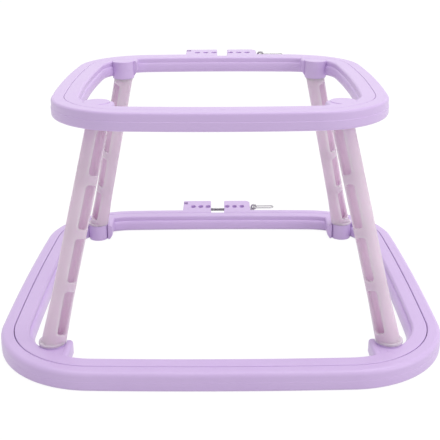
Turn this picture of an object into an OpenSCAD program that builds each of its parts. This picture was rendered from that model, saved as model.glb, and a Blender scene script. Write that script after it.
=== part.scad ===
// Embroidery hoop stand: a large square hoop lies on the table, and a smaller one stands over it
// on four leaning tubular legs. Each hoop is an inner ring inside a split outer ring, which a screw
// behind it draws tight. The origin is on the table, in the middle of the footprint with the lugs.

/* [Base hoop] */
// Outside width of the base hoop across the middle of two sides
base_w = 300; // [280:1:340]
// Radius of its corners, at the outside
base_corner_r = 69; // [60:1:80]
// Radius of its gently bowed sides
base_side_r = 2500; // [1200:50:4000]
// Height of its rings
base_h = 13; // [11:0.2:16]
// Radial thickness of its inner ring, above the step in the inner wall
base_inner_t = 10.8; // [9:0.1:13]
// How far the inner wall stands forward below the step
base_step = 2; // [0.4:0.1:3]
// Height of that step
base_step_h = 9.3; // [8:0.1:10]
// Thickness of the ears beside its sockets
base_ear_t = 4; // [2.5:0.1:5]
// Middle of the split in its outer ring
base_split_x = -2; // [-10:0.5:10]
// Width of the split
base_split_w = 12.6; // [6:0.2:14]

/* [Top hoop] */
// Outside width of the top hoop across the middle of two sides
top_w = 222.6; // [210:0.2:240]
// Radius of its corners, at the outside
top_corner_r = 55; // [48:1:60]
// Radius of its gently bowed sides
top_side_r = 850; // [600:50:2000]
// Height of its rings
top_h = 11.8; // [11:0.2:16]
// Radial thickness of its inner ring, above the step in the inner wall
top_inner_t = 9.5; // [8:0.1:13]
// How far the inner wall stands forward below the step
top_step = 1.6; // [0.4:0.1:3]
// Height of that step
top_step_h = 8; // [7.7:0.1:10]
// Thickness of the ears beside its sockets
top_ear_t = 2.7; // [2:0.1:5]
// Middle of the split in its outer ring
top_split_x = 2.5; // [-10:0.5:10]
// Width of the split
top_split_w = 8.4; // [6:0.2:14]

/* [Ring sections] */
// Radial thickness of an outer ring
outer_t = 8.7; // [7:0.1:10]
// Gap between an outer and an inner ring, where the fabric goes
seam = 0.4; // [0.3:0.05:0.8]
// Rounding of the outer top edge
edge_r = 3.2; // [0.6:0.1:4]
// Rounding of the outer edge at the foot
foot_edge_r = 1.8; // [0.6:0.1:3]
// Rounding of the inner edge at the foot
foot_r = 3.2; // [1.5:0.1:4]

/* [Stand] */
// Overall height
stand_h = 164.6; // [140:0.2:220]
// Where a leg stands on the base hoop, from the hoop's middle
base_leg = [109.2, 110.6];
// Where a leg meets the top hoop, from the hoop's middle
top_leg = [77.1, 77.4];

/* [Legs] */
// Outside diameter of the tube
leg_d = 14.2; // [13:0.1:16]
// Wall of the tube
leg_wall = 2; // [1.5:0.1:3]
// Windows in a row up each side
windows = 4; // [2:1:5]
// Width of a window
window_w = 8; // [5:0.5:9]
// Rounding of its corners
window_r = 2; // [0.5:0.1:2.4]
// Height of the solid band between two windows
band_h = 7.4; // [5:0.2:12]
// Diameter of the collar that stands on the base hoop's socket
collar_d = 16.8; // [15.6:0.2:19]
// Thickness of that collar
collar_h = 2; // [1:0.1:3]
// Diameter of the thin rim under the top hoop's socket
rim_d = 15.2; // [14.6:0.1:17]
// Diameter of the spigots
spigot_d = 10.8; // [9:0.1:11]
// Length of the spigots
spigot_l = 9; // [6:0.5:9.5]

/* [Sockets] */
// Diameter of a socket
socket_d = 17; // [16:0.2:20]
// Height of a socket
socket_h = 13.7; // [12:0.1:16]
// Play between a spigot and its socket, on the diameter
spigot_play = 0.2; // [0.1:0.05:0.2]
// Floor of a socket
socket_floor = 2.5; // [1.5:0.1:3]

/* [Clamps] */
// How far the lugs stand behind the hoop
lug_reach = 24.5; // [20:0.5:28]
// Width of the lug that holds the nut
nut_lug_w = 26.3; // [22:0.1:28]
// Width of the lug on the handle's side
eye_lug_w = 24.5; // [22:0.1:28]
// How far the screw runs behind the hoop
screw_reach = 17.5; // [16:0.5:20]
// Diameter of the screw
screw_d = 3; // [2.5:0.1:3.5]
// Round pockets in the top of each lug
pockets = 3; // [0:1:3]
// Width of the nut across its flats
nut_w = 6; // [5.5:0.5:7]
// Thickness of the nut
nut_t = 4; // [2.4:0.1:5]
// Thickness of the handle's wire
wire_d = 1.4; // [1:0.1:1.5]
// Length of the handle from the eye to its far bend
handle_l = 18.4; // [14:0.2:24]

/* [Hidden] */

LILAC = [0.85, 0.76, 0.92];
LILAC_DEEP = [0.80, 0.70, 0.88];
LEG_PINK = [0.83, 0.76, 0.82];
STEEL = [0.62, 0.62, 0.64];

// The hoops' middle lies this far in front of the origin, which counts the lugs in.
hoop_y = -lug_reach / 2;
top_z = stand_h - top_h;

// The legs stand on the lower sockets and carry the upper ones, which end at the top face.
foot_z = socket_h;
head_z = stand_h - socket_h;

// A hoop's driving sizes as one list, with a function to read each of them
base_hoop = [
    base_w / 2, base_side_r, base_corner_r, base_leg, base_split_x, base_split_w,
    base_h, base_inner_t, base_step, base_step_h, base_ear_t
];
top_hoop = [
    top_w / 2, top_side_r, top_corner_r, top_leg, top_split_x, top_split_w,
    top_h, top_inner_t, top_step, top_step_h, top_ear_t
];
function half(hoop) = hoop[0];
function side_r(hoop) = hoop[1];
function corner_r(hoop) = hoop[2];
function leg_place(hoop) = hoop[3];
function split_left(hoop) = hoop[4] - hoop[5] / 2;
function split_right(hoop) = hoop[4] + hoop[5] / 2;
function ring_h(hoop) = hoop[6];
function inner_t(hoop) = hoop[7];
function step_in(hoop) = hoop[8];
function step_h(hoop) = hoop[9];
function ear_t(hoop) = hoop[10];

// Smaller roundings: along the seam, at the top of the inner wall and on a socket. The step's
// shoulder curves down over this height.
seam_edge_r = 0.8;
inner_top_r = 1.6;
bevel = 0.4;
shoulder_h = 4.5;

// Cutting shapes reach past what they cut by the slack. A corner's section is fuller than a side's
// by a hair, and a side runs this far into its corners, so that the two overlap.
slack = 1;
hair = 0.08;
run_in = 0.6;

// The ear beside a socket starts in front of the socket's middle and runs back into the ring. The
// web between socket and ring lies a little below the top and above the foot.
ear_front = 4.5;
ear_run = 24;
ear_bevel = [2.4, 3.6];
web_drop = 2.4;
web_lift = 1.2;
web_run = 14.4;

// Play round the screw, on the diameter, in the lugs and in the nut
bore_play = 0.2;
nut_bore_play = 0.1;

// The lugs and the round pockets in them: the first pocket's middle is this far from the split
lug_root = 5;
lug_chamfer = 1;
eye_lug_chamfer = 3.2;
pocket_d = 4;
pocket_pitch = 7;
pocket_deep = 8;
pocket_reach = 12;
pocket_edge = 2.8;

// The screw's washer, neck and eye. The eye's middle lies this far above the screw's axis.
washer_d = 5;
washer_t = 0.8;
washer_gap = 0.35;
neck_d = 2;
screw_tip = 0.4;
eye_d = 6;
eye_t = 1.8;
eye_hole_d = 2;
eye_lift = 2.6;

// Half the distance between the two long wires of the handle
handle_half = 2.8;

// A leg as it runs from one hoop to the other: its run along each axis, its length, how far it
// leans from upright and which way it turns. The first window starts this far up the leg, and the
// tube's round starts this many degrees from the lean.
window_edge = 3.6;
tube_turn = 52;
leg_run = [base_leg[0] - top_leg[0], base_leg[1] - top_leg[1], head_z - foot_z];
leg_l = norm(leg_run);
leg_lean = atan2(norm([leg_run[0], leg_run[1]]), leg_run[2]);
leg_turn = atan2(-leg_run[1], -leg_run[0]);
window_l = (leg_l - 2 * window_edge - (windows - 1) * band_h) / windows;

FRONT_LEFT = [-1, -1];
FRONT_RIGHT = [1, -1];
BACK_LEFT = [-1, 1];
BACK_RIGHT = [1, 1];
CORNERS = [FRONT_LEFT, FRONT_RIGHT, BACK_LEFT, BACK_RIGHT];

// The lugs' outer ends, at the nut and at the eye, and the place of the eye along the screw
function nut_face(hoop) = split_left(hoop) - nut_lug_w;
function eye_face(hoop) = split_right(hoop) + eye_lug_w;
function eye_x(hoop) = eye_face(hoop) + washer_gap + washer_t + eye_d / 2;

// The corner arc's centre lies on the diagonal, where it runs smoothly into both bowed sides.
function corner_centre(half, side_r, corner_r) =
    let (back = side_r - half)
    (sqrt(2 * pow(side_r - corner_r, 2) - back * back) - back) / 2;

// Sweeps an upright section round a hoop. The section's x is 0 at the hoop's outer face. The first
// child is the sides' section and the second the corners', which is a hair fuller, so that each
// side runs a little way into its corners.
module round_the_hoop(hoop) {
    back = side_r(hoop) - half(hoop);
    c = corner_centre(half(hoop), side_r(hoop), corner_r(hoop));
    spread = atan2(c, c + back);
    into = run_in / side_r(hoop) * 180 / PI;
    for (quarter = [0:3]) rotate(90 * quarter) {
        translate([-back, 0, 0])
            rotate_extrude(angle = 2 * (spread + into), start = -spread - into, $fn = 1440)
                translate([side_r(hoop), 0]) children(0);
        translate([c, c, 0])
            rotate_extrude(angle = 90 - 2 * spread, start = spread, $fn = 144)
                translate([corner_r(hoop), 0]) children(1);
    }
}

// A rectangle with its own rounding at each corner, given as [inner foot, outer foot, outer top,
// inner top].
module soft_section(x0, x1, z0, z1, radii) {
    ends = [[x0, z0, 1, 1], [x1, z0, -1, 1], [x1, z1, -1, -1], [x0, z1, 1, -1]];
    difference() {
        translate([x0, z0]) square([x1 - x0, z1 - z0]);
        for (i = [0:3]) if (radii[i] > 0) {
            e = ends[i];
            r = radii[i];
            difference() {
                translate([e[0] + e[2] * (r - slack) / 2, e[1] + e[3] * (r - slack) / 2])
                    square(r + slack, center = true);
                translate([e[0] + e[2] * r, e[1] + e[3] * r]) circle(r, $fn = 48);
            }
        }
    }
}

module outer_section(hoop, fuller) {
    soft_section(-outer_t - fuller, fuller, 0, ring_h(hoop),
        [seam_edge_r, foot_edge_r, edge_r, seam_edge_r]);
}

module inner_section(hoop, fuller) {
    outside = -outer_t - seam + fuller;
    inside = -outer_t - seam - inner_t(hoop) - fuller;
    soft_section(inside, outside, 0, ring_h(hoop), [0, seam_edge_r, seam_edge_r, inner_top_r]);
    soft_section(inside - step_in(hoop), (inside + outside) / 2, 0, step_h(hoop) - shoulder_h,
        [foot_r, 0, 0, 0]);
    translate([inside, step_h(hoop) - shoulder_h])
        scale([step_in(hoop), shoulder_h]) circle(1, $fn = 48);
}

// The ear beside a socket, with its lower edge cut away, and the low web behind the socket
module ear_and_web(hoop) {
    leg = leg_place(hoop);
    x = leg[0] - socket_d / 2;
    free_x = x - ear_t(hoop);
    profile = [
        [x, 0], [x, ring_h(hoop)], [free_x, ring_h(hoop)],
        [free_x, ear_bevel[1]], [free_x + ear_bevel[0], 0]
    ];
    translate([0, leg[1] - ear_front + ear_run, 0])
        rotate([90, 0, 0]) linear_extrude(ear_run) polygon(profile);
    translate([x - slack, leg[1] + slack, web_lift])
        cube([socket_d / 2 + slack, web_run, ring_h(hoop) - web_drop - web_lift]);
}

module inner_ring(hoop) {
    leg = leg_place(hoop);
    difference() {
        union() {
            round_the_hoop(hoop) {
                inner_section(hoop, 0);
                inner_section(hoop, hair);
            }
            for (corner = CORNERS) scale([corner[0], corner[1], 1]) ear_and_web(hoop);
        }
        for (corner = CORNERS)
            translate([corner[0] * leg[0], corner[1] * leg[1], -slack])
                cylinder(d = socket_d, h = ring_h(hoop) + 2 * slack, $fn = 72);
    }
}

// A lug's outline from above, from its inner face at the split to its outer end
module lug(hoop, split_face, width, side, outer_chamfer) {
    near = half(hoop) - lug_root;
    far = half(hoop) + lug_reach;
    inner = split_face;
    outer = split_face + side * width;
    linear_extrude(ring_h(hoop)) polygon([
        [inner, near], [outer, near], [outer, far - outer_chamfer],
        [outer - side * outer_chamfer, far], [inner + side * lug_chamfer, far],
        [inner, far - lug_chamfer]
    ]);
}

module outer_ring(hoop) {
    left = split_left(hoop);
    right = split_right(hoop);
    height = ring_h(hoop);
    axis_y = half(hoop) + screw_reach;
    through = eye_face(hoop) - nut_face(hoop) + 2 * slack;
    difference() {
        union() {
            round_the_hoop(hoop) {
                outer_section(hoop, 0);
                outer_section(hoop, hair);
            }
            lug(hoop, left, nut_lug_w, -1, lug_chamfer);
            lug(hoop, right, eye_lug_w, 1, eye_lug_chamfer);
        }
        translate([left, half(hoop) - outer_t - slack, -slack])
            cube([right - left, outer_t + lug_reach + 2 * slack, height + 2 * slack]);
        translate([nut_face(hoop) - slack, axis_y, height / 2]) rotate([0, 90, 0])
            cylinder(d = screw_d + bore_play, h = through, $fn = 36);
        for (i = [0:pockets - 1]) for (face = [[left, -1], [right, 1]])
            translate([
                face[0] + face[1] * (pocket_edge + i * pocket_pitch),
                half(hoop) + pocket_reach, height - pocket_deep
            ]) cylinder(d = pocket_d, h = pocket_deep + slack, $fn = 36);
        translate([nut_face(hoop) - slack, axis_y - nut_w / 2, height / 2 - nut_w / sqrt(3)])
            cube([nut_t + slack, nut_w, height]);
    }
}

// A socket is a cup for a leg's spigot. Its mouth faces up on the base hoop.
module socket(hoop, corner, z, mouth_up) {
    leg = leg_place(hoop);
    r = socket_d / 2;
    bore_z = mouth_up ? socket_floor : -slack;
    color(LILAC_DEEP) translate([corner[0] * leg[0], corner[1] * leg[1] + hoop_y, z])
        difference() {
            rotate_extrude($fn = 72) polygon([
                [0, 0], [r - bevel, 0], [r, bevel], [r, socket_h - bevel],
                [r - bevel, socket_h], [0, socket_h]
            ]);
            translate([0, 0, bore_z])
                cylinder(d = spigot_d + spigot_play, h = socket_h - socket_floor + slack, $fn = 48);
        }
}

// Places its children along the leaning axis of the back right leg, z running up it.
module along_the_leg() {
    translate([base_leg[0], base_leg[1], foot_z]) rotate([0, leg_lean, leg_turn]) children();
}

// The space between the lower and the upper sockets, drawn in at each end
module between_the_sockets(inset) {
    width = base_w + 2 * slack;
    translate([-width / 2, -width / 2, foot_z + inset])
        cube([width, width, head_z - foot_z - 2 * inset]);
}

// A window through both sides of the tube, with rounded corners
module window() {
    rotate([90, 0, 0]) linear_extrude(leg_d + 2 * slack, center = true) {
        translate([-window_w / 2, window_r]) square([window_w, window_l - 2 * window_r]);
        translate([window_r - window_w / 2, 0]) square([window_w - 2 * window_r, window_l]);
        for (side = [-1, 1]) for (end = [window_r, window_l - window_r])
            translate([side * (window_w / 2 - window_r), end]) circle(window_r, $fn = 32);
    }
}

module leg(corner) {
    color(LEG_PINK) translate([0, hoop_y, 0]) scale([corner[0], corner[1], 1]) {
        difference() {
            intersection() {
                along_the_leg() rotate(tube_turn) translate([0, 0, -leg_d])
                    cylinder(d = leg_d, h = leg_l + 2 * leg_d, $fn = 60);
                between_the_sockets(0);
            }
            intersection() {
                along_the_leg() rotate(tube_turn) translate([0, 0, -leg_d])
                    cylinder(d = leg_d - 2 * leg_wall, h = leg_l + 2 * leg_d, $fn = 48);
                between_the_sockets(collar_h);
            }
            along_the_leg() for (i = [0:windows - 1])
                translate([0, 0, window_edge + i * (window_l + band_h)]) window();
        }
        translate([base_leg[0], base_leg[1], foot_z]) {
            cylinder(d = collar_d, h = collar_h, $fn = 60);
            translate([0, 0, -spigot_l]) cylinder(d = spigot_d, h = spigot_l, $fn = 48);
        }
        translate([top_leg[0], top_leg[1], head_z]) {
            translate([0, 0, -slack]) cylinder(d = rim_d, h = slack, $fn = 60);
            cylinder(d = spigot_d, h = spigot_l, $fn = 48);
        }
    }
}

// Places its children on a screw's axis, x running from the nut to the handle.
module on_the_screw(hoop, z) {
    translate([0, half(hoop) + screw_reach + hoop_y, z + ring_h(hoop) / 2]) children();
}

module tension_screw(hoop, z) {
    end = nut_face(hoop);
    face = eye_face(hoop) + washer_gap;
    neck_end = eye_x(hoop);
    color(STEEL) on_the_screw(hoop, z) difference() {
        union() {
            rotate([0, 90, 0]) rotate_extrude($fn = 48) polygon([
                [0, end], [screw_d / 2 - screw_tip, end], [screw_d / 2, end + screw_tip],
                [screw_d / 2, face], [washer_d / 2, face], [washer_d / 2, face + washer_t],
                [neck_d / 2, face + washer_t], [neck_d / 2, neck_end], [0, neck_end]
            ]);
            translate([eye_x(hoop), 0, eye_lift]) rotate([90, 0, 0])
                cylinder(d = eye_d, h = eye_t, center = true, $fn = 48);
        }
        translate([eye_x(hoop), 0, eye_lift]) rotate([90, 0, 0])
            cylinder(d = eye_hole_d, h = eye_t + 2 * slack, center = true, $fn = 36);
    }
}

module screw_nut(hoop, z) {
    color(STEEL) on_the_screw(hoop, z) translate([nut_face(hoop), 0, 0]) rotate([0, 90, 0])
        difference() {
            cylinder(d = nut_w * 2 / sqrt(3), h = nut_t, $fn = 6);
            translate([0, 0, -slack])
                cylinder(d = screw_d + nut_bore_play, h = nut_t + 2 * slack, $fn = 36);
        }
}

// A closed wire link: a cross bar through the eye, two long wires and a half round far end
module screw_handle(hoop, z) {
    straight = handle_l - handle_half;
    color(STEEL) on_the_screw(hoop, z) translate([eye_x(hoop), 0, eye_lift]) {
        rotate([90, 0, 0]) cylinder(d = wire_d, h = 2 * handle_half, center = true, $fn = 24);
        for (side = [-1, 1]) translate([0, side * handle_half, 0]) {
            sphere(d = wire_d, $fn = 24);
            rotate([0, 90, 0]) cylinder(d = wire_d, h = straight, $fn = 24);
        }
        translate([straight, 0, 0]) rotate_extrude(angle = 180, start = -90, $fn = 48)
            translate([handle_half, 0]) circle(d = wire_d, $fn = 24);
    }
}

module bottom_inner_ring() { color(LILAC_DEEP) translate([0, hoop_y, 0]) inner_ring(base_hoop); }
module bottom_outer_ring() { color(LILAC) translate([0, hoop_y, 0]) outer_ring(base_hoop); }
module top_inner_ring() { color(LILAC_DEEP) translate([0, hoop_y, top_z]) inner_ring(top_hoop); }
module top_outer_ring() { color(LILAC) translate([0, hoop_y, top_z]) outer_ring(top_hoop); }

module bottom_socket(corner) { socket(base_hoop, corner, 0, true); }
module top_socket(corner) { socket(top_hoop, corner, head_z, false); }

bottom_inner_ring();
bottom_outer_ring();
bottom_socket(FRONT_LEFT);  // bottom_socket_front_left
bottom_socket(FRONT_RIGHT);  // bottom_socket_front_right
bottom_socket(BACK_LEFT);  // bottom_socket_back_left
bottom_socket(BACK_RIGHT);  // bottom_socket_back_right
leg(FRONT_LEFT);  // leg_front_left
leg(FRONT_RIGHT);  // leg_front_right
leg(BACK_LEFT);  // leg_back_left
leg(BACK_RIGHT);  // leg_back_right
top_inner_ring();
top_outer_ring();
top_socket(FRONT_LEFT);  // top_socket_front_left
top_socket(FRONT_RIGHT);  // top_socket_front_right
top_socket(BACK_LEFT);  // top_socket_back_left
top_socket(BACK_RIGHT);  // top_socket_back_right
tension_screw(base_hoop, 0);  // bottom_tension_screw
screw_nut(base_hoop, 0);  // bottom_screw_nut
screw_handle(base_hoop, 0);  // bottom_screw_handle
tension_screw(top_hoop, top_z);  // top_tension_screw
screw_nut(top_hoop, top_z);  // top_screw_nut
screw_handle(top_hoop, top_z);  // top_screw_handle
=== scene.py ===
import math

import bmesh
import bpy
from mathutils import Matrix, Vector


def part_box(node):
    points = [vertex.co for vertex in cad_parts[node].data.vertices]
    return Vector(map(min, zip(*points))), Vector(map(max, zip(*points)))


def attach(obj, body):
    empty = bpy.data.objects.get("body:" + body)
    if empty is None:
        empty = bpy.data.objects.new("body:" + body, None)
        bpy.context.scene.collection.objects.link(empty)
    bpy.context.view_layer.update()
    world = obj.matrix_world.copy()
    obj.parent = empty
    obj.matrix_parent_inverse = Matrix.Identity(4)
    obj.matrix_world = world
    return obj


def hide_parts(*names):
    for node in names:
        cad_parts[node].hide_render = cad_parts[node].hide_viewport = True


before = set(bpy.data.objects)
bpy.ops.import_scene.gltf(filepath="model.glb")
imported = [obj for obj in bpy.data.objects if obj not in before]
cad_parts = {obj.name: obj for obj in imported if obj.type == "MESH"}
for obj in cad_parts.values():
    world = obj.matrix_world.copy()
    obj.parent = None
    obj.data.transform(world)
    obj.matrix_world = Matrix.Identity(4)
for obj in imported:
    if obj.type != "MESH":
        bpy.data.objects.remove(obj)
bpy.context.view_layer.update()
bpy.ops.object.select_all(action="DESELECT")

MM = 0.001
UP = Vector((0, 0, 1))

# Sizes that both hoops' ring sections share
OUTER_T = 8.7 * MM
FOOT_EDGE_R = 1.8 * MM
FOOT_R = 3.2 * MM
INNER_TOP_R = 1.6 * MM
SHOULDER_H = 4.5 * MM
SHOULDER_STEPS = 10
PARTING_W = 0.36 * MM
PARTING_DEEP = 0.12 * MM

# Sockets and the ears beside them
SOCKET_D = 17.0 * MM
SOCKET_H = 13.7 * MM
BORE_D = 11.0 * MM
SOCKET_FLOOR = 2.5 * MM
RIM_R = 0.5 * MM
MOUTH_R = 0.9 * MM
EAR_END = 20.7 * MM
EAR_CUT = (2.4 * MM, 3.6 * MM)
EAR_TOP_R = 2.2 * MM
EAR_EDGE = 0.5 * MM
WEB_DROP = 0.4 * MM
WEB_LIFT = 1.2 * MM
WEB_RUN = 14.4 * MM
SILL_DROP = 0.3 * MM
SILL_X = (-3.3 * MM, 6 * MM)

# Legs
LEG_D = 14.2 * MM
LEG_WALL = 2.0 * MM
WINDOWS = 4
WINDOW_W = 8.0 * MM
WINDOW_R = 2.0 * MM
WINDOW_FOOT = 6.9 * MM
WINDOW_HEAD = 4.0 * MM
BAND_H = 6.0 * MM
FOOT_FLARE = 0.8 * MM
FOOT_FLARE_H = 30 * MM
FOOT_SHIFT = 0.7 * MM
COLLAR_D = 17.6 * MM
COLLAR_H = 2.0 * MM
COLLAR_R = 0.9 * MM
TOP_RIM_D = 15.2 * MM
TOP_RIM_H = 1.0 * MM
SPIGOT_D = 10.8 * MM
SPIGOT_L = 9.0 * MM
SOFT_EDGE = 0.35 * MM

# Clamps
LUG_REACH = 24.5 * MM
LUG_ROOT = 5.0 * MM
NUT_LUG_W = 26.3 * MM
EYE_LUG_W = 24.5 * MM
LUG_CHAMFER = 1.0 * MM
EYE_LUG_CHAMFER = 3.2 * MM
LUG_EDGE = 0.45 * MM
LUG_DROP = 0.02 * MM
SCREW_REACH = 17.5 * MM
SCREW_D = 3.0 * MM
THREAD_PITCH = 0.5 * MM
THREAD_DEEP = 0.28 * MM
BORE_PLAY = 0.2 * MM
NUT_BORE_PLAY = 0.1 * MM
POCKETS = 3
POCKET_W = 4.2 * MM
POCKET_L = 7.5 * MM
POCKET_PITCH = 7.0 * MM
POCKET_DEEP = 3.0 * MM
POCKET_REACH = 8.2 * MM
POCKET_EDGE = 2.8 * MM
POCKET_LIP = 0.35 * MM
NUT_W = 6.0 * MM
NUT_T = 4.0 * MM
WASHER_D = 5.0 * MM
WASHER_T = 0.8 * MM
WASHER_GAP = 0.35 * MM
NECK_D = 2.0 * MM
EYE_D = 6.0 * MM
EYE_WIRE = 1.6 * MM
EYE_LIFT = 2.6 * MM
WIRE_D = 1.4 * MM
HANDLE_L = 18.4 * MM
HANDLE_HALF = 2.8 * MM

# A cutting shape reaches this far past what it cuts.
SLACK = 1.0 * MM
# A rounding stays this much under half a width, so that two of them don't meet in one point.
HAIR = 0.01 * MM
# Points closer than this are one point. On a thread they lie closer together.
WELD = 0.005 * MM
THREAD_WELD = 0.002 * MM
# A cut takes points this near its plane as lying on it. Blender's own 0.1 mm would tear a thread.
CUT_NEAR = 0.0001 * MM

# Facets of a rounding, of turned pieces and of the hoops' sides and corners
ROUNDING_STEPS = 8
TURNED_STEPS = 72
LARGE_STEPS = 96
ROD_STEPS = 48
SIDE_STEPS = 28
CORNER_STEPS = 44
SMOOTH_ANGLE = 32

# Floor: its radius, how far it lies below the base, and its own white as the camera sees it
FLOOR_R = 12
FLOOR_DROP = 0.02 * MM
FLOOR_GLOW = 1.08
FLOOR_SHARE = 0.85

# The photograph's camera. Its angles are in degrees.
CAMERA_PLACE = (-1.3 * MM, -599.05 * MM, 272.5 * MM)
CAMERA_DOWN = 20.16
CAMERA_ASIDE = -0.12
CAMERA_ROLL = -0.2
CAMERA_LENS = 67.58


def hoop_from(outer_node, *, side_r, corner_r, leg, split, inner_t, step, ear, sill, edge, ledge, seam):
    """One hoop's driving sizes in metres, from its sizes in millimetres. Its place, width and height
    come from the frame.

    side_r and corner_r are the radii of the bowed sides and of the corners, leg is a leg's place,
    split is (middle, width) and inner_t is the inner ring's thickness. step is (how far in, how high),
    ear is (thickness, reach in front of its socket's middle) and sill is the reach behind that middle.
    edge is the outer ring's top rounding, ledge is how far its upper half stands back at the parting
    line and seam is (width, rounding) of the gap between the rings."""
    low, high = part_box(outer_node)
    half = (high.x - low.x) / 2
    side_r *= MM
    corner_r *= MM
    back = side_r - half
    # A corner's arc touches its neighbours from inside, with its centre at (corner, corner).
    corner = (math.sqrt(2 * (side_r - corner_r) ** 2 - back ** 2) - back) / 2
    return {
        "z": low.z, "h": high.z - low.z, "top": high.z, "half": half, "y": low.y + half,
        "side_r": side_r, "corner_r": corner_r, "corner": corner,
        "spread": math.atan2(corner, corner + back), "leg": (leg[0] * MM, leg[1] * MM),
        "left": (split[0] - split[1] / 2) * MM, "right": (split[0] + split[1] / 2) * MM,
        "inner_t": inner_t * MM, "step_in": step[0] * MM, "step_h": step[1] * MM,
        "ear_t": ear[0] * MM, "ear_front": ear[1] * MM, "edge": edge * MM, "ledge": ledge * MM,
        "sill": sill * MM, "seam": seam[0] * MM, "seam_r": seam[1] * MM,
    }


BASE = hoop_from(
    "bottom_outer_ring", side_r=2500, corner_r=69, leg=(109.2, 110.6), split=(-2, 12.6), inner_t=9.8,
    step=(3, 9.3), ear=(4, 4.5), sill=15.5, edge=3.2, ledge=0.1, seam=(0.4, 0.8))
TOP = hoop_from(
    "top_outer_ring", side_r=850, corner_r=55, leg=(77.1, 77.4), split=(2.5, 8.4), inner_t=9.5,
    step=(1.6, 8), ear=(2.7, 0.5), sill=12, edge=1.8, ledge=0.3, seam=(0.2, 0.35))
CORNERS = {
    "front_left": (-1, -1), "front_right": (1, -1), "back_left": (-1, 1), "back_right": (1, 1),
}


# Modelling steps that many pieces share

def active():
    return bpy.context.view_layer.objects.active


def mode(name):
    bpy.ops.object.mode_set(mode=name)


def only(*pieces):
    """Selects these pieces alone. The last is the active one."""
    bpy.ops.object.select_all(action="DESELECT")
    for piece in pieces:
        piece.select_set(True)
    bpy.context.view_layer.objects.active = pieces[-1]


def pick(kind, test):
    """Selects the vertices, edges or faces that pass a test, in edit mode."""
    bpy.ops.mesh.select_mode(type=kind)
    bpy.ops.mesh.select_all(action="DESELECT")
    mesh = bmesh.from_edit_mesh(active().data)
    for item in {"VERT": mesh.verts, "EDGE": mesh.edges, "FACE": mesh.faces}[kind]:
        if test(item):
            item.select_set(True)
    mesh.select_flush_mode()
    bmesh.update_edit_mesh(active().data)


def near(place, reach=HAIR):
    place = Vector(place)
    return lambda vertex: (vertex.co - place).length < reach


def draw(points):
    """Draws a closed outline. A point is (x, y, z) or (x, y, z, radius of its rounding)."""
    places = [Vector(p[:3]) for p in points]
    bpy.ops.mesh.primitive_plane_add(size=MM)
    mode("EDIT")
    bpy.ops.mesh.merge(type="CENTER")
    bpy.ops.transform.translate(value=places[0])
    for last, place in zip(places, places[1:]):
        bpy.ops.mesh.extrude_region_move(TRANSFORM_OT_translate={"value": place - last})
    pick("VERT", lambda v: len(v.link_edges) == 1)
    bpy.ops.mesh.edge_face_add()
    for point in points:
        if len(point) == 4:
            pick("VERT", near(point[:3]))
            bpy.ops.mesh.bevel(offset=point[3], segments=ROUNDING_STEPS, affect="VERTICES")
    bpy.ops.mesh.select_all(action="SELECT")
    return active()


def close_shell(reach=WELD):
    """Welds the seam of a spun or mirrored shell and turns its faces outwards."""
    mode("EDIT")
    bpy.ops.mesh.select_all(action="SELECT")
    bpy.ops.mesh.remove_doubles(threshold=reach)
    bpy.ops.mesh.fill_holes(sides=0)
    bpy.ops.mesh.select_all(action="SELECT")
    bpy.ops.mesh.normals_make_consistent(inside=False)
    mode("OBJECT")
    return active()


def lathe(outline, steps=TURNED_STEPS):
    """Turns an outline round the Z axis. A point is (radius, height) or (radius, height, rounding)."""
    draw([(p[0], 0, *p[1:]) for p in outline])
    bpy.ops.mesh.spin(steps=steps, angle=math.tau, center=(0, 0, 0), axis=UP)
    return close_shell()


def slab(outline, low, high, edge=0.0):
    """An outline in the XY plane, pulled up from low to high, with soft edges above and below."""
    draw([(p[0], p[1], low, *p[2:]) for p in outline])
    bpy.ops.mesh.edge_face_add()
    bpy.ops.mesh.extrude_region_move(TRANSFORM_OT_translate={"value": (0, 0, high - low)})
    piece = close_shell()
    if edge:
        soften(piece, edge)
    return piece


def rod(radius, start, length, axis, vertices=ROD_STEPS):
    """A plain cutting cylinder along an axis, from its start."""
    turn = UP.rotation_difference(Vector(axis)).to_euler()
    middle = Vector(start) + Vector(axis) * length / 2
    bpy.ops.mesh.primitive_cylinder_add(
        vertices=vertices, radius=radius, depth=length, location=middle, rotation=turn)
    settle()
    return active()


def block(low, high):
    """A plain cutting block between two corners."""
    size = Vector(high) - Vector(low)
    bpy.ops.mesh.primitive_cube_add(size=1, location=(Vector(low) + Vector(high)) / 2)
    active().scale = size
    settle()
    return active()


def settle():
    """Puts the active piece's place into its mesh."""
    bpy.ops.object.transform_apply(location=True, rotation=True, scale=True)


def move(piece, matrix):
    """Moves, turns or mirrors a piece in its mesh."""
    only(piece)
    piece.matrix_world = matrix
    settle()
    if matrix.determinant() < 0:
        mode("EDIT")
        bpy.ops.mesh.select_all(action="SELECT")
        bpy.ops.mesh.normals_make_consistent(inside=False)
        mode("OBJECT")
    return piece


def join(*pieces):
    only(*pieces)
    bpy.ops.object.join()
    return active()


def apply(piece, kind, **values):
    only(piece)
    modifier = piece.modifiers.new(kind.lower(), kind)
    for name, value in values.items():
        setattr(modifier, name, value)
    bpy.ops.object.modifier_apply(modifier=modifier.name)
    return piece


def combine(piece, other, operation):
    """Unites, cuts or intersects a piece with another, which is then deleted."""
    apply(piece, "BOOLEAN", object=other, operation=operation, solver="EXACT")
    bpy.data.objects.remove(other)
    return piece


def soften(piece, width, angle=40, segments=3):
    """Rounds every edge sharper than an angle."""
    return apply(
        piece, "BEVEL", width=width, segments=segments, limit_method="ANGLE",
        angle_limit=math.radians(angle), use_clamp_overlap=True)


def copy(piece):
    only(piece)
    bpy.ops.object.duplicate()
    return active()


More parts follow.
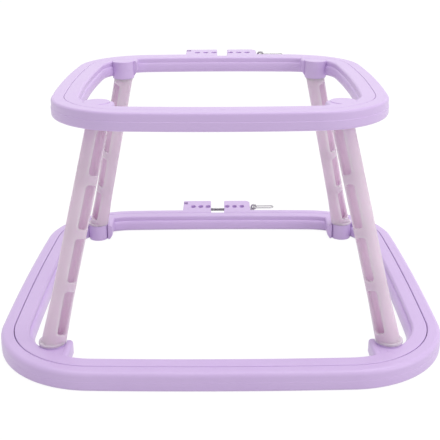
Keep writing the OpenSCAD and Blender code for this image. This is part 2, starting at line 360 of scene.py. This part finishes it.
def dress(piece, name, body, material, node):
    """Names a finished piece, gives it its material, and lets it stand for its node."""
    only(piece)
    piece.name = name
    piece.data.name = name
    piece.data.materials.clear()
    piece.data.materials.append(material)
    bpy.ops.object.shade_smooth_by_angle(angle=math.radians(SMOOTH_ANGLE))
    apply(piece, "WEIGHTED_NORMAL", keep_sharp=True)
    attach(piece, body)
    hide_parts(node)
    return piece


# Materials

# A colour Mix node's sockets: its factor, its two colours and the colour it puts out
MIX_FACTOR, MIX_A, MIX_B, MIX_OUT = 0, 6, 7, 2


def node_in(tree, kind, place=(0, 0), **values):
    made = tree.nodes.new(kind)
    made.location = place
    for name, value in values.items():
        if name in made.inputs:
            made.inputs[name].default_value = value
        else:
            setattr(made, name, value)
    return made


def mould_finish():
    """Moulded plastic: cloudy colour, uneven gloss and a fine grain, all on Object coordinates."""
    tree = bpy.data.node_groups.new("mould_finish", "ShaderNodeTree")
    for name, kind in (("Colour", "NodeSocketColor"), ("Deep colour", "NodeSocketColor"),
                       ("Gloss", "NodeSocketFloat")):
        tree.interface.new_socket(name, in_out="INPUT", socket_type=kind)
    for name, kind in (("Colour", "NodeSocketColor"), ("Roughness", "NodeSocketFloat"),
                       ("Grain", "NodeSocketFloat")):
        tree.interface.new_socket(name, in_out="OUTPUT", socket_type=kind)
    given = node_in(tree, "NodeGroupInput", (-900, 0))
    out = node_in(tree, "NodeGroupOutput", (700, 0))
    where = node_in(tree, "ShaderNodeTexCoord", (-900, -300))

    cloud = node_in(tree, "ShaderNodeTexNoise", (-600, 200), Scale=22.0, Detail=3.0, Roughness=0.55)
    tree.links.new(where.outputs["Object"], cloud.inputs["Vector"])
    spread = node_in(tree, "ShaderNodeMapRange", (-380, 200))
    spread.inputs["From Min"].default_value = 0.35
    spread.inputs["From Max"].default_value = 0.7
    spread.inputs["To Min"].default_value = 0.0
    spread.inputs["To Max"].default_value = 0.35
    tree.links.new(cloud.outputs["Fac"], spread.inputs["Value"])
    blend = node_in(tree, "ShaderNodeMix", (-120, 200), data_type="RGBA")
    tree.links.new(spread.outputs["Result"], blend.inputs[MIX_FACTOR])
    tree.links.new(given.outputs["Colour"], blend.inputs[MIX_A])
    tree.links.new(given.outputs["Deep colour"], blend.inputs[MIX_B])
    tree.links.new(blend.outputs[MIX_OUT], out.inputs["Colour"])

    smear = node_in(tree, "ShaderNodeTexNoise", (-600, -100), Scale=70.0, Detail=4.0, Distortion=0.6)
    tree.links.new(where.outputs["Object"], smear.inputs["Vector"])
    gloss = node_in(tree, "ShaderNodeMath", (-380, -100), operation="MULTIPLY_ADD")
    gloss.inputs[1].default_value = 0.14
    tree.links.new(smear.outputs["Fac"], gloss.inputs[0])
    tree.links.new(given.outputs["Gloss"], gloss.inputs[2])
    tree.links.new(gloss.outputs[0], out.inputs["Roughness"])

    grain = node_in(tree, "ShaderNodeTexNoise", (-600, -400), Scale=2600.0, Detail=2.0)
    tree.links.new(where.outputs["Object"], grain.inputs["Vector"])
    wave = node_in(tree, "ShaderNodeTexNoise", (-600, -650), Scale=140.0, Detail=1.0)
    tree.links.new(where.outputs["Object"], wave.inputs["Vector"])
    both = node_in(tree, "ShaderNodeMath", (-300, -450), operation="MULTIPLY_ADD")
    both.inputs[1].default_value = 3.0
    tree.links.new(wave.outputs["Fac"], both.inputs[0])
    tree.links.new(grain.outputs["Fac"], both.inputs[2])
    tree.links.new(both.outputs[0], out.inputs["Grain"])
    return tree


def plastic(name, colour, deep, gloss, coat=0.0, milky=0.0):
    """A moulded plastic. Coat is its share of shiny skin, and milky how far light goes into it."""
    material = bpy.data.materials.new(name)
    material.use_nodes = True
    tree = material.node_tree
    shader = tree.nodes["Principled BSDF"]
    shader.inputs["IOR"].default_value = 1.46
    shader.inputs["Subsurface Weight"].default_value = milky
    shader.inputs["Subsurface Radius"].default_value = (1.0, 0.8, 0.95)
    shader.inputs["Subsurface Scale"].default_value = 10 * MM
    shader.inputs["Coat Weight"].default_value = coat
    shader.inputs["Coat Roughness"].default_value = 0.25
    group = tree.nodes.new("ShaderNodeGroup")
    group.node_tree = bpy.data.node_groups["mould_finish"]
    group.location = (-500, 0)
    group.inputs["Colour"].default_value = (*colour, 1)
    group.inputs["Deep colour"].default_value = (*deep, 1)
    group.inputs["Gloss"].default_value = gloss
    bump = node_in(tree, "ShaderNodeBump", (-220, -300), Strength=0.22, Distance=0.02 * MM)
    tree.links.new(group.outputs["Colour"], shader.inputs["Base Color"])
    tree.links.new(group.outputs["Roughness"], shader.inputs["Roughness"])
    tree.links.new(group.outputs["Grain"], bump.inputs["Height"])
    tree.links.new(bump.outputs["Normal"], shader.inputs["Normal"])
    return material


def plated_steel():
    """Bright plated steel with fine drawn lines along the screw's axis and a few dull spots."""
    material = bpy.data.materials.new("plated_steel")
    material.use_nodes = True
    tree = material.node_tree
    shader = tree.nodes["Principled BSDF"]
    shader.inputs["Metallic"].default_value = 1.0
    where = node_in(tree, "ShaderNodeTexCoord", (-1000, 0))
    stretch = node_in(tree, "ShaderNodeMapping", (-800, 0))
    stretch.inputs["Scale"].default_value = (60, 1800, 1800)
    lines = node_in(tree, "ShaderNodeTexNoise", (-600, 0), Scale=1.0, Detail=3.0)
    spots = node_in(tree, "ShaderNodeTexNoise", (-600, 300), Scale=420.0, Detail=2.0)
    tone = node_in(tree, "ShaderNodeMix", (-300, 300), data_type="RGBA")
    tone.inputs[MIX_A].default_value = (0.56, 0.55, 0.56, 1)
    tone.inputs[MIX_B].default_value = (0.40, 0.39, 0.41, 1)
    rough = node_in(tree, "ShaderNodeMapRange", (-300, 0))
    rough.inputs["To Min"].default_value = 0.16
    rough.inputs["To Max"].default_value = 0.42
    bump = node_in(tree, "ShaderNodeBump", (-300, -300), Strength=0.25, Distance=0.02 * MM)
    tree.links.new(where.outputs["Object"], stretch.inputs["Vector"])
    tree.links.new(stretch.outputs["Vector"], lines.inputs["Vector"])
    tree.links.new(where.outputs["Object"], spots.inputs["Vector"])
    tree.links.new(spots.outputs["Fac"], tone.inputs[MIX_FACTOR])
    tree.links.new(tone.outputs[MIX_OUT], shader.inputs["Base Color"])
    tree.links.new(lines.outputs["Fac"], rough.inputs["Value"])
    tree.links.new(rough.outputs["Result"], shader.inputs["Roughness"])
    tree.links.new(lines.outputs["Fac"], bump.inputs["Height"])
    tree.links.new(bump.outputs["Normal"], shader.inputs["Normal"])
    return material


mould_finish()
LILAC = plastic("lilac_plastic", (0.640, 0.480, 0.780), (0.600, 0.430, 0.750), 0.36, coat=0.3)
PALE_PINK = plastic("pale_pink_plastic", (0.690, 0.545, 0.660), (0.650, 0.505, 0.625), 0.38, milky=1.0)
STEEL = plated_steel()


# Rings

def sweep(outline, hoop, start_x, turns):
    """Sweeps an outline round a hoop from the middle of its back, first to the left. The outline's x
    counts from the hoop's outer face, and turns are (angle, steps, centre from the hoop's middle)."""
    lift = hoop["half"] - hoop["side_r"]
    outer_y = hoop["y"] + lift + math.sqrt(hoop["side_r"] ** 2 - start_x ** 2)
    draw([(start_x, outer_y + p[0], hoop["z"] + p[1], *p[2:]) for p in outline])
    for angle, steps, (x, y) in turns:
        bpy.ops.mesh.spin(steps=steps, angle=angle, center=(x, hoop["y"] + y, 0), axis=-UP)
    return close_shell()


def turns_round(hoop, first, last):
    """The arcs from the back's middle round the whole hoop, with the first and last arc's angles."""
    side = hoop["half"] - hoop["side_r"]
    c = hoop["corner"]
    spread = hoop["spread"]
    bend = math.pi / 2 - 2 * spread
    centres = [(0, side), (-c, c), (-side, 0), (-c, -c), (0, -side), (c, -c), (side, 0), (c, c), (0, side)]
    angles = [first, bend, 2 * spread, bend, 2 * spread, bend, 2 * spread, bend, last]
    half, corner, whole = SIDE_STEPS // 2, CORNER_STEPS, SIDE_STEPS
    steps = [half, corner, whole, corner, whole, corner, whole, corner, half]
    return list(zip(angles, steps, centres))


def inner_ring(hoop):
    outside = -OUTER_T - hoop["seam"]
    inside = outside - hoop["inner_t"]
    step = inside - hoop["step_in"]
    shoulder = [
        (inside - hoop["step_in"] * math.sin(a), hoop["step_h"] - SHOULDER_H * (1 - math.cos(a)))
        for a in (math.pi / 2 * i / SHOULDER_STEPS for i in range(SHOULDER_STEPS + 1))
    ]
    ring = sweep([
        (outside, 0, hoop["seam_r"]), (outside, hoop["h"], hoop["seam_r"]),
        (inside, hoop["h"], INNER_TOP_R), *shoulder, (step, 0, FOOT_R),
    ], hoop, 0, turns_round(hoop, hoop["spread"], hoop["spread"]))
    combine(ring, join(*[ear_and_web(hoop, side) for side in CORNERS.values()]), "UNION")
    hole = join(*[
        rod(SOCKET_D / 2, (x, y, hoop["z"] - SLACK), hoop["h"] + 2 * SLACK, UP, LARGE_STEPS)
        for x, y in (leg_place(hoop, side) for side in CORNERS.values())
    ])
    return combine(ring, hole, "DIFFERENCE")


def leg_place(hoop, side):
    return side[0] * hoop["leg"][0], side[1] * hoop["leg"][1] + hoop["y"]


def ear_and_web(hoop, side):
    """The ear beside a socket, with its lower outer edge cut away, and the web behind the socket,
    which rises to a sill under the leg's collar."""
    leg_x, leg_y = hoop["leg"]
    inner_x = leg_x - SOCKET_D / 2
    free_x = inner_x - hoop["ear_t"]
    start = leg_y - hoop["ear_front"]
    z = hoop["z"]
    draw([
        (inner_x, start, z), (inner_x, start, hoop["top"]), (free_x, start, hoop["top"], EAR_TOP_R),
        (free_x, start, z + EAR_CUT[1]), (free_x + EAR_CUT[0], start, z),
    ])
    bpy.ops.mesh.edge_face_add()
    bpy.ops.mesh.extrude_region_move(TRANSFORM_OT_translate={"value": (0, leg_y + EAR_END - start, 0)})
    ear = soften(close_shell(), EAR_EDGE, 30)
    web = block(
        (inner_x - SLACK, leg_y + SLACK, z + WEB_LIFT),
        (leg_x, leg_y + SLACK + WEB_RUN, hoop["top"] - WEB_DROP))
    sill = block(
        (leg_x + SILL_X[0], leg_y + SLACK, z + WEB_LIFT),
        (leg_x + SILL_X[1], leg_y + hoop["sill"], hoop["top"] - SILL_DROP))
    piece = combine(combine(ear, web, "UNION"), sill, "UNION")
    return move(piece, Matrix.Translation((0, hoop["y"], 0)) @ Matrix.Diagonal((*side, 1, 1)))


def outer_ring(hoop):
    middle = hoop["h"] / 2
    first = hoop["spread"] - math.asin(-hoop["left"] / hoop["side_r"])
    last = hoop["spread"] - math.asin(hoop["right"] / hoop["side_r"])
    upper = -hoop["ledge"]
    ring = sweep([
        (-OUTER_T, 0, hoop["seam_r"]), (-OUTER_T, hoop["h"], hoop["seam_r"]),
        (upper, hoop["h"], hoop["edge"]), (upper, middle + hoop["ledge"]), (0, middle),
        (0, 0, FOOT_EDGE_R),
    ], hoop, hoop["left"], turns_round(hoop, first, last))
    combine(ring, lug(hoop, hoop["left"], NUT_LUG_W, -1, LUG_CHAMFER), "UNION")
    combine(ring, lug(hoop, hoop["right"], EYE_LUG_W, 1, EYE_LUG_CHAMFER), "UNION")
    screw_y = hoop["y"] + hoop["half"] + SCREW_REACH
    screw_z = hoop["z"] + middle
    nut_end = hoop["left"] - NUT_LUG_W
    through = hoop["right"] + EYE_LUG_W - nut_end + 2 * SLACK
    start = (nut_end - SLACK, screw_y, screw_z)
    bore = rod((SCREW_D + BORE_PLAY) / 2, start, through, (1, 0, 0), vertices=32)
    combine(ring, bore, "DIFFERENCE")
    recess = block(
        (nut_end - SLACK, screw_y - NUT_W / 2, screw_z - NUT_W / math.sqrt(3)),
        (nut_end + NUT_T, screw_y + NUT_W / 2, screw_z + hoop["h"]))
    return combine(ring, recess, "DIFFERENCE")


def lug(hoop, face, width, side, outer_chamfer):
    """A lug of the outer ring, with its pockets, from its face at the split outwards. Its top lies a
    hair below the ring's, so that the two don't share a plane."""
    root = hoop["y"] + hoop["half"] - LUG_ROOT
    far = hoop["y"] + hoop["half"] + LUG_REACH
    end = face + side * width
    piece = slab([
        (face, root), (end, root), (end, far - outer_chamfer), (end - side * outer_chamfer, far),
        (face + side * LUG_CHAMFER, far), (face, far - LUG_CHAMFER),
    ], hoop["z"], hoop["top"] - LUG_DROP, LUG_EDGE)
    for i in range(POCKETS):
        place = (
            face + side * (POCKET_EDGE + i * POCKET_PITCH),
            hoop["y"] + hoop["half"] + POCKET_REACH, hoop["top"])
        combine(piece, pocket(place), "DIFFERENCE")
    return piece


def pocket(place):
    """The cutter of a pocket, a blind slot with a soft lip, from the middle of its mouth."""
    x = POCKET_W / 2
    y = POCKET_L / 2
    r = x - HAIR
    z = -POCKET_DEEP
    draw([(-x, -y, z, r), (x, -y, z, r), (x, y, z, r), (-x, y, z, r)])
    bpy.ops.mesh.edge_face_add()
    bpy.ops.mesh.extrude_region_move(TRANSFORM_OT_translate={"value": (0, 0, POCKET_DEEP - POCKET_LIP)})
    bpy.ops.mesh.extrude_region_move(TRANSFORM_OT_translate={"value": (0, 0, 2 * POCKET_LIP)})
    flare = (1 + 2 * POCKET_LIP / x, 1 + 2 * POCKET_LIP / y, 1)
    bpy.ops.transform.resize(value=flare, center_override=(0, 0, POCKET_LIP))
    return move(close_shell(), Matrix.Translation(place))


# Sockets

def socket(hoop, side, mouth_up):
    """A cup for a leg's spigot, with a fine parting line at half its height."""
    r = SOCKET_D / 2
    bore = BORE_D / 2
    middle = SOCKET_H / 2
    cup = lathe([
        (0, 0), (r, 0, RIM_R), (r, middle - PARTING_W / 2), (r - PARTING_DEEP, middle),
        (r, middle + PARTING_W / 2), (r, SOCKET_H, MOUTH_R), (bore, SOCKET_H, RIM_R / 2),
        (bore, SOCKET_FLOOR), (0, SOCKET_FLOOR),
    ], LARGE_STEPS)
    place = Matrix.Translation((*leg_place(hoop, side), hoop["z"] if mouth_up else hoop["top"]))
    return move(cup, place if mouth_up else place @ Matrix.Rotation(math.pi, 4, "X"))


# Legs

def leg():
    """The back right leg: a slotted tube between two spigots, which widens slightly to its foot and
    stands on a collar."""
    collar_at = Vector((*BASE["leg"], BASE["z"] + SOCKET_H))
    foot = collar_at - Vector((FOOT_SHIFT, 0, 0))
    head = Vector((*TOP["leg"], TOP["top"] - SOCKET_H))
    run = head - foot
    lean = math.atan2(math.hypot(run.x, run.y), run.z)
    turn = math.atan2(run.y, run.x)
    leaning = (
        Matrix.Translation(foot) @ Matrix.Rotation(turn, 4, "Z") @ Matrix.Rotation(lean, 4, "Y"))
    window_l = (run.length - WINDOW_FOOT - WINDOW_HEAD - (WINDOWS - 1) * BAND_H) / WINDOWS
    r = LEG_D / 2
    flared = r + FOOT_FLARE * (1 + LEG_D / FOOT_FLARE_H)
    end = run.length + LEG_D
    tube = lathe([(0, -LEG_D), (flared, -LEG_D), (r, FOOT_FLARE_H), (r, end), (0, end)], LARGE_STEPS)
    bore = rod(r - LEG_WALL, (0, 0, -LEG_D), run.length + 2 * LEG_D, UP, LARGE_STEPS)
    move(tube, leaning)
    move(bore, leaning)
    far = BASE["half"]
    combine(tube, block((-far, -far, foot.z), (far, far, head.z)), "INTERSECT")
    combine(bore, block((-far, -far, foot.z + COLLAR_H), (far, far, head.z - COLLAR_H)), "INTERSECT")
    combine(tube, bore, "DIFFERENCE")
    for i in range(WINDOWS):
        cutter = window(WINDOW_FOOT + i * (window_l + BAND_H), window_l)
        combine(tube, move(cutter, leaning), "DIFFERENCE")
    soften(tube, SOFT_EDGE, 35, 2)
    collar = lathe([
        (0, -SPIGOT_L), (SPIGOT_D / 2, -SPIGOT_L, RIM_R), (SPIGOT_D / 2, 0), (COLLAR_D / 2, 0, RIM_R / 2),
        (COLLAR_D / 2, COLLAR_H, COLLAR_R), (0, COLLAR_H),
    ])
    combine(tube, move(collar, Matrix.Translation(collar_at)), "UNION")
    rim = lathe([
        (0, -TOP_RIM_H), (TOP_RIM_D / 2, -TOP_RIM_H, RIM_R), (TOP_RIM_D / 2, 0), (SPIGOT_D / 2, 0),
        (SPIGOT_D / 2, SPIGOT_L, RIM_R), (0, SPIGOT_L),
    ])
    return combine(tube, move(rim, Matrix.Translation(head)), "UNION")


def window(start, length):
    """The cutter of a window through both sides of the tube."""
    half = WINDOW_W / 2
    piece = slab([
        (-half, start, WINDOW_R), (half, start, WINDOW_R), (half, start + length, WINDOW_R),
        (-half, start + length, WINDOW_R),
    ], -LEG_D, LEG_D)
    return move(piece, Matrix.Rotation(math.pi / 2, 4, "X"))


# Screws, nuts and handles. Each is made along X, with the screw's axis at the origin.

def on_the_screw(hoop):
    middle = (hoop["z"] + hoop["top"]) / 2
    return Matrix.Translation((0, hoop["y"] + hoop["half"] + SCREW_REACH, middle))


def eye_x(hoop):
    return hoop["right"] + EYE_LUG_W + WASHER_GAP + WASHER_T + EYE_D / 2


ALONG_X = Matrix.Rotation(math.pi / 2, 4, "Y")


def threaded_rod(length):
    """A threaded shaft from the origin up the Z axis: one tooth, wound up by the pitch each turn."""
    r = SCREW_D / 2
    bpy.ops.mesh.primitive_plane_add(size=MM)
    mode("EDIT")
    bpy.ops.mesh.merge(type="CENTER")
    bpy.ops.transform.translate(value=(r - THREAD_DEEP, 0, -2 * THREAD_PITCH))
    flank, crest, root = 0.4, 0.15, 0.05
    for out, share in ((THREAD_DEEP, flank), (0, crest), (-THREAD_DEEP, flank), (0, root)):
        value = (out, 0, share * THREAD_PITCH)
        bpy.ops.mesh.extrude_region_move(TRANSFORM_OT_translate={"value": value})
    mode("OBJECT")
    shaft = apply(
        active(), "SCREW", angle=math.tau, screw_offset=THREAD_PITCH, steps=24, render_steps=24,
        iterations=round(length / THREAD_PITCH) + 3, use_merge_vertices=True,
        merge_threshold=THREAD_WELD)
    mode("EDIT")
    for height, outer in ((length, True), (0, False)):
        bpy.ops.mesh.select_all(action="SELECT")
        bpy.ops.mesh.bisect(
            plane_co=(0, 0, height), plane_no=UP, use_fill=True, clear_outer=outer,
            clear_inner=not outer, threshold=CUT_NEAR)
    mode("OBJECT")
    return close_shell()


def tension_screw(hoop):
    """Thread, washer, neck and ring in one. The thread ends inside the washer, where no faces meet."""
    start = hoop["left"] - NUT_LUG_W
    face = hoop["right"] + EYE_LUG_W + WASHER_GAP
    thread_l = face + WASHER_T / 2 - start
    shaft = move(threaded_rod(thread_l), Matrix.Translation((start, 0, 0)) @ ALONG_X)
    neck_l = WASHER_T + EYE_D / 2
    head = lathe([
        (0, 0), (WASHER_D / 2, 0, WASHER_T / 4), (WASHER_D / 2, WASHER_T, WASHER_T / 4),
        (NECK_D / 2, WASHER_T), (NECK_D / 2, neck_l, NECK_D / 4), (0, neck_l),
    ], steps=48)
    combine(shaft, move(head, Matrix.Translation((face, 0, 0)) @ ALONG_X), "UNION")
    bpy.ops.mesh.primitive_torus_add(
        major_radius=(EYE_D - EYE_WIRE) / 2, minor_radius=EYE_WIRE / 2, major_segments=48,
        minor_segments=20, location=(eye_x(hoop), 0, EYE_LIFT), rotation=(math.pi / 2, 0, 0))
    settle()
    combine(shaft, active(), "UNION")
    return move(shaft, on_the_screw(hoop))


def screw_nut(hoop):
    """A hexagon nut with chamfered corners and a countersunk bore."""
    across = NUT_W / math.sqrt(3)
    bpy.ops.mesh.primitive_cylinder_add(vertices=6, radius=across, depth=NUT_T, location=(0, 0, NUT_T / 2))
    settle()
    nut = active()
    chamfer = across - NUT_W / 2
    drum = lathe([
        (0, 0), (NUT_W / 2, 0), (across, chamfer / 2), (across, NUT_T - chamfer / 2),
        (NUT_W / 2, NUT_T), (0, NUT_T),
    ], steps=60)
    combine(nut, drum, "INTERSECT")
    r = (SCREW_D + NUT_BORE_PLAY) / 2
    bore = lathe([
        (0, -SLACK), (r + SLACK, -SLACK), (r, THREAD_DEEP), (r, NUT_T - THREAD_DEEP),
        (r + SLACK, NUT_T + SLACK), (0, NUT_T + SLACK),
    ], steps=40)
    combine(nut, bore, "DIFFERENCE")
    move(nut, Matrix.Translation((hoop["left"] - NUT_LUG_W, 0, 0)) @ ALONG_X)
    return move(nut, on_the_screw(hoop))


def wire_handle(hoop):
    """A closed wire link: its cross bar lies in the screw's eye and its far end is half round."""
    near_r = WIRE_D * 0.7
    far_r = HANDLE_HALF - HAIR
    draw([
        (0, -HANDLE_HALF, 0, near_r), (HANDLE_L, -HANDLE_HALF, 0, far_r),
        (HANDLE_L, HANDLE_HALF, 0, far_r), (0, HANDLE_HALF, 0, near_r),
    ])
    mode("OBJECT")
    bpy.ops.object.convert(target="CURVE")
    wire = active()
    wire.data.bevel_depth = WIRE_D / 2
    wire.data.bevel_resolution = 5
    bpy.ops.object.convert(target="MESH")
    handle = close_shell()
    move(handle, Matrix.Translation((eye_x(hoop), 0, EYE_LIFT)))
    return move(handle, on_the_screw(hoop))


# The assembly

def build_hoop(hoop, lower, where, body, outer_body, screw_body, handle_body):
    """Makes one hoop. Where is the word its nodes start with and lower says which way it faces."""
    name = "lower" if lower else "upper"
    dress(inner_ring(hoop), name + "_inner_ring", body, LILAC, where + "_inner_ring")
    dress(outer_ring(hoop), name + "_outer_ring", outer_body, LILAC,
          where + "_outer_ring")
    for corner, side in CORNERS.items():
        dress(socket(hoop, side, lower), name + "_socket_" + corner, body, LILAC,
              where + "_socket_" + corner)
    dress(tension_screw(hoop), name + "_screw", screw_body, STEEL, where + "_tension_screw")
    dress(screw_nut(hoop), name + "_nut", outer_body, STEEL, where + "_screw_nut")
    dress(wire_handle(hoop), name + "_handle", handle_body, STEEL, where + "_screw_handle")


def build_legs():
    pattern = leg()
    to_hoop = Matrix.Translation((0, BASE["y"], 0))
    for corner, side in CORNERS.items():
        piece = move(copy(pattern), to_hoop @ Matrix.Diagonal((*side, 1, 1)))
        dress(piece, "slotted_leg_" + corner, "legs", PALE_PINK, "leg_" + corner)
    bpy.data.objects.remove(pattern)


build_hoop(BASE, True, "bottom", "base", "base_outer", "base_screw", "base_handle")
build_hoop(TOP, False, "top", "top_frame", "top_outer", "top_screw", "top_handle")
build_legs()


# Floor, light and camera

def straight_ray(tree):
    """A value of 1 where the camera or a reflection looks straight at the floor or the world."""
    seen = node_in(tree, "ShaderNodeLightPath", (-600, 300))
    either = node_in(tree, "ShaderNodeMath", (-400, 300), operation="MAXIMUM")
    tree.links.new(seen.outputs["Is Camera Ray"], either.inputs[0])
    tree.links.new(seen.outputs["Is Glossy Ray"], either.inputs[1])
    return either.outputs[0]


def floor():
    bpy.ops.mesh.primitive_circle_add(
        vertices=LARGE_STEPS, radius=FLOOR_R, fill_type="NGON", location=(0, 0, -FLOOR_DROP))
    settle()
    piece = active()
    piece.name = "floor"
    material = bpy.data.materials.new("pale_floor")
    material.use_nodes = True
    tree = material.node_tree
    shader = tree.nodes["Principled BSDF"]
    shader.inputs["Base Color"].default_value = (0.8, 0.8, 0.8, 1)
    shader.inputs["Roughness"].default_value = 0.9
    glow = node_in(tree, "ShaderNodeEmission", (0, -300), Strength=FLOOR_GLOW)
    share = node_in(tree, "ShaderNodeMath", (-200, 300), operation="MULTIPLY")
    share.inputs[1].default_value = FLOOR_SHARE
    mix = node_in(tree, "ShaderNodeMixShader", (250, 0))
    tree.links.new(straight_ray(tree), share.inputs[0])
    tree.links.new(share.outputs[0], mix.inputs[0])
    tree.links.new(shader.outputs[0], mix.inputs[1])
    tree.links.new(glow.outputs[0], mix.inputs[2])
    tree.links.new(mix.outputs[0], tree.nodes["Material Output"].inputs["Surface"])
    piece.data.materials.append(material)


def world_light(level):
    """A white world that lights at the given level and looks white to the camera and in steel."""
    world = bpy.data.worlds.new("studio")
    bpy.context.scene.world = world
    world.use_nodes = True
    tree = world.node_tree
    background = tree.nodes["Background"]
    strength = node_in(tree, "ShaderNodeMapRange", (-200, 0))
    strength.inputs["To Min"].default_value = level
    strength.inputs["To Max"].default_value = 1.0
    background.inputs["Color"].default_value = (1, 1, 1, 1)
    tree.links.new(straight_ray(tree), strength.inputs["Value"])
    tree.links.new(strength.outputs["Result"], background.inputs["Strength"])


def soft_box(name, place, aim, size, power):
    bpy.ops.object.light_add(type="AREA", location=place)
    lamp = active()
    lamp.name = name
    lamp.data.shape = "SQUARE"
    lamp.data.size = size
    lamp.data.energy = power
    lamp.rotation_euler = (Vector(aim) - Vector(place)).to_track_quat("-Z", "Y").to_euler()


def camera():
    """The photograph's own view: from the front, a little to the left, looking down 20 degrees."""
    bpy.ops.object.camera_add(location=CAMERA_PLACE)
    piece = active()
    down = Matrix.Rotation(math.radians(90 - CAMERA_DOWN), 3, "X")
    aside = Matrix.Rotation(math.radians(CAMERA_ASIDE), 3, "Z")
    roll = Matrix.Rotation(math.radians(CAMERA_ROLL), 3, "Z")
    piece.rotation_euler = (aside @ down @ roll).to_euler()
    piece.data.sensor_width = 36
    piece.data.lens = CAMERA_LENS
    piece.data.clip_start = 0.01
    bpy.context.scene.camera = piece


floor()
world_light(0.6)
soft_box("soft_top", place=(0.4, 0.2, 3.0), aim=(0, 0, 0), size=3.2, power=55)
soft_box("soft_right", place=(1.5, -0.7, 0.7), aim=(0, 0, 0.08), size=1.0, power=6)
camera()
bpy.context.scene.view_settings.view_transform = "Standard"
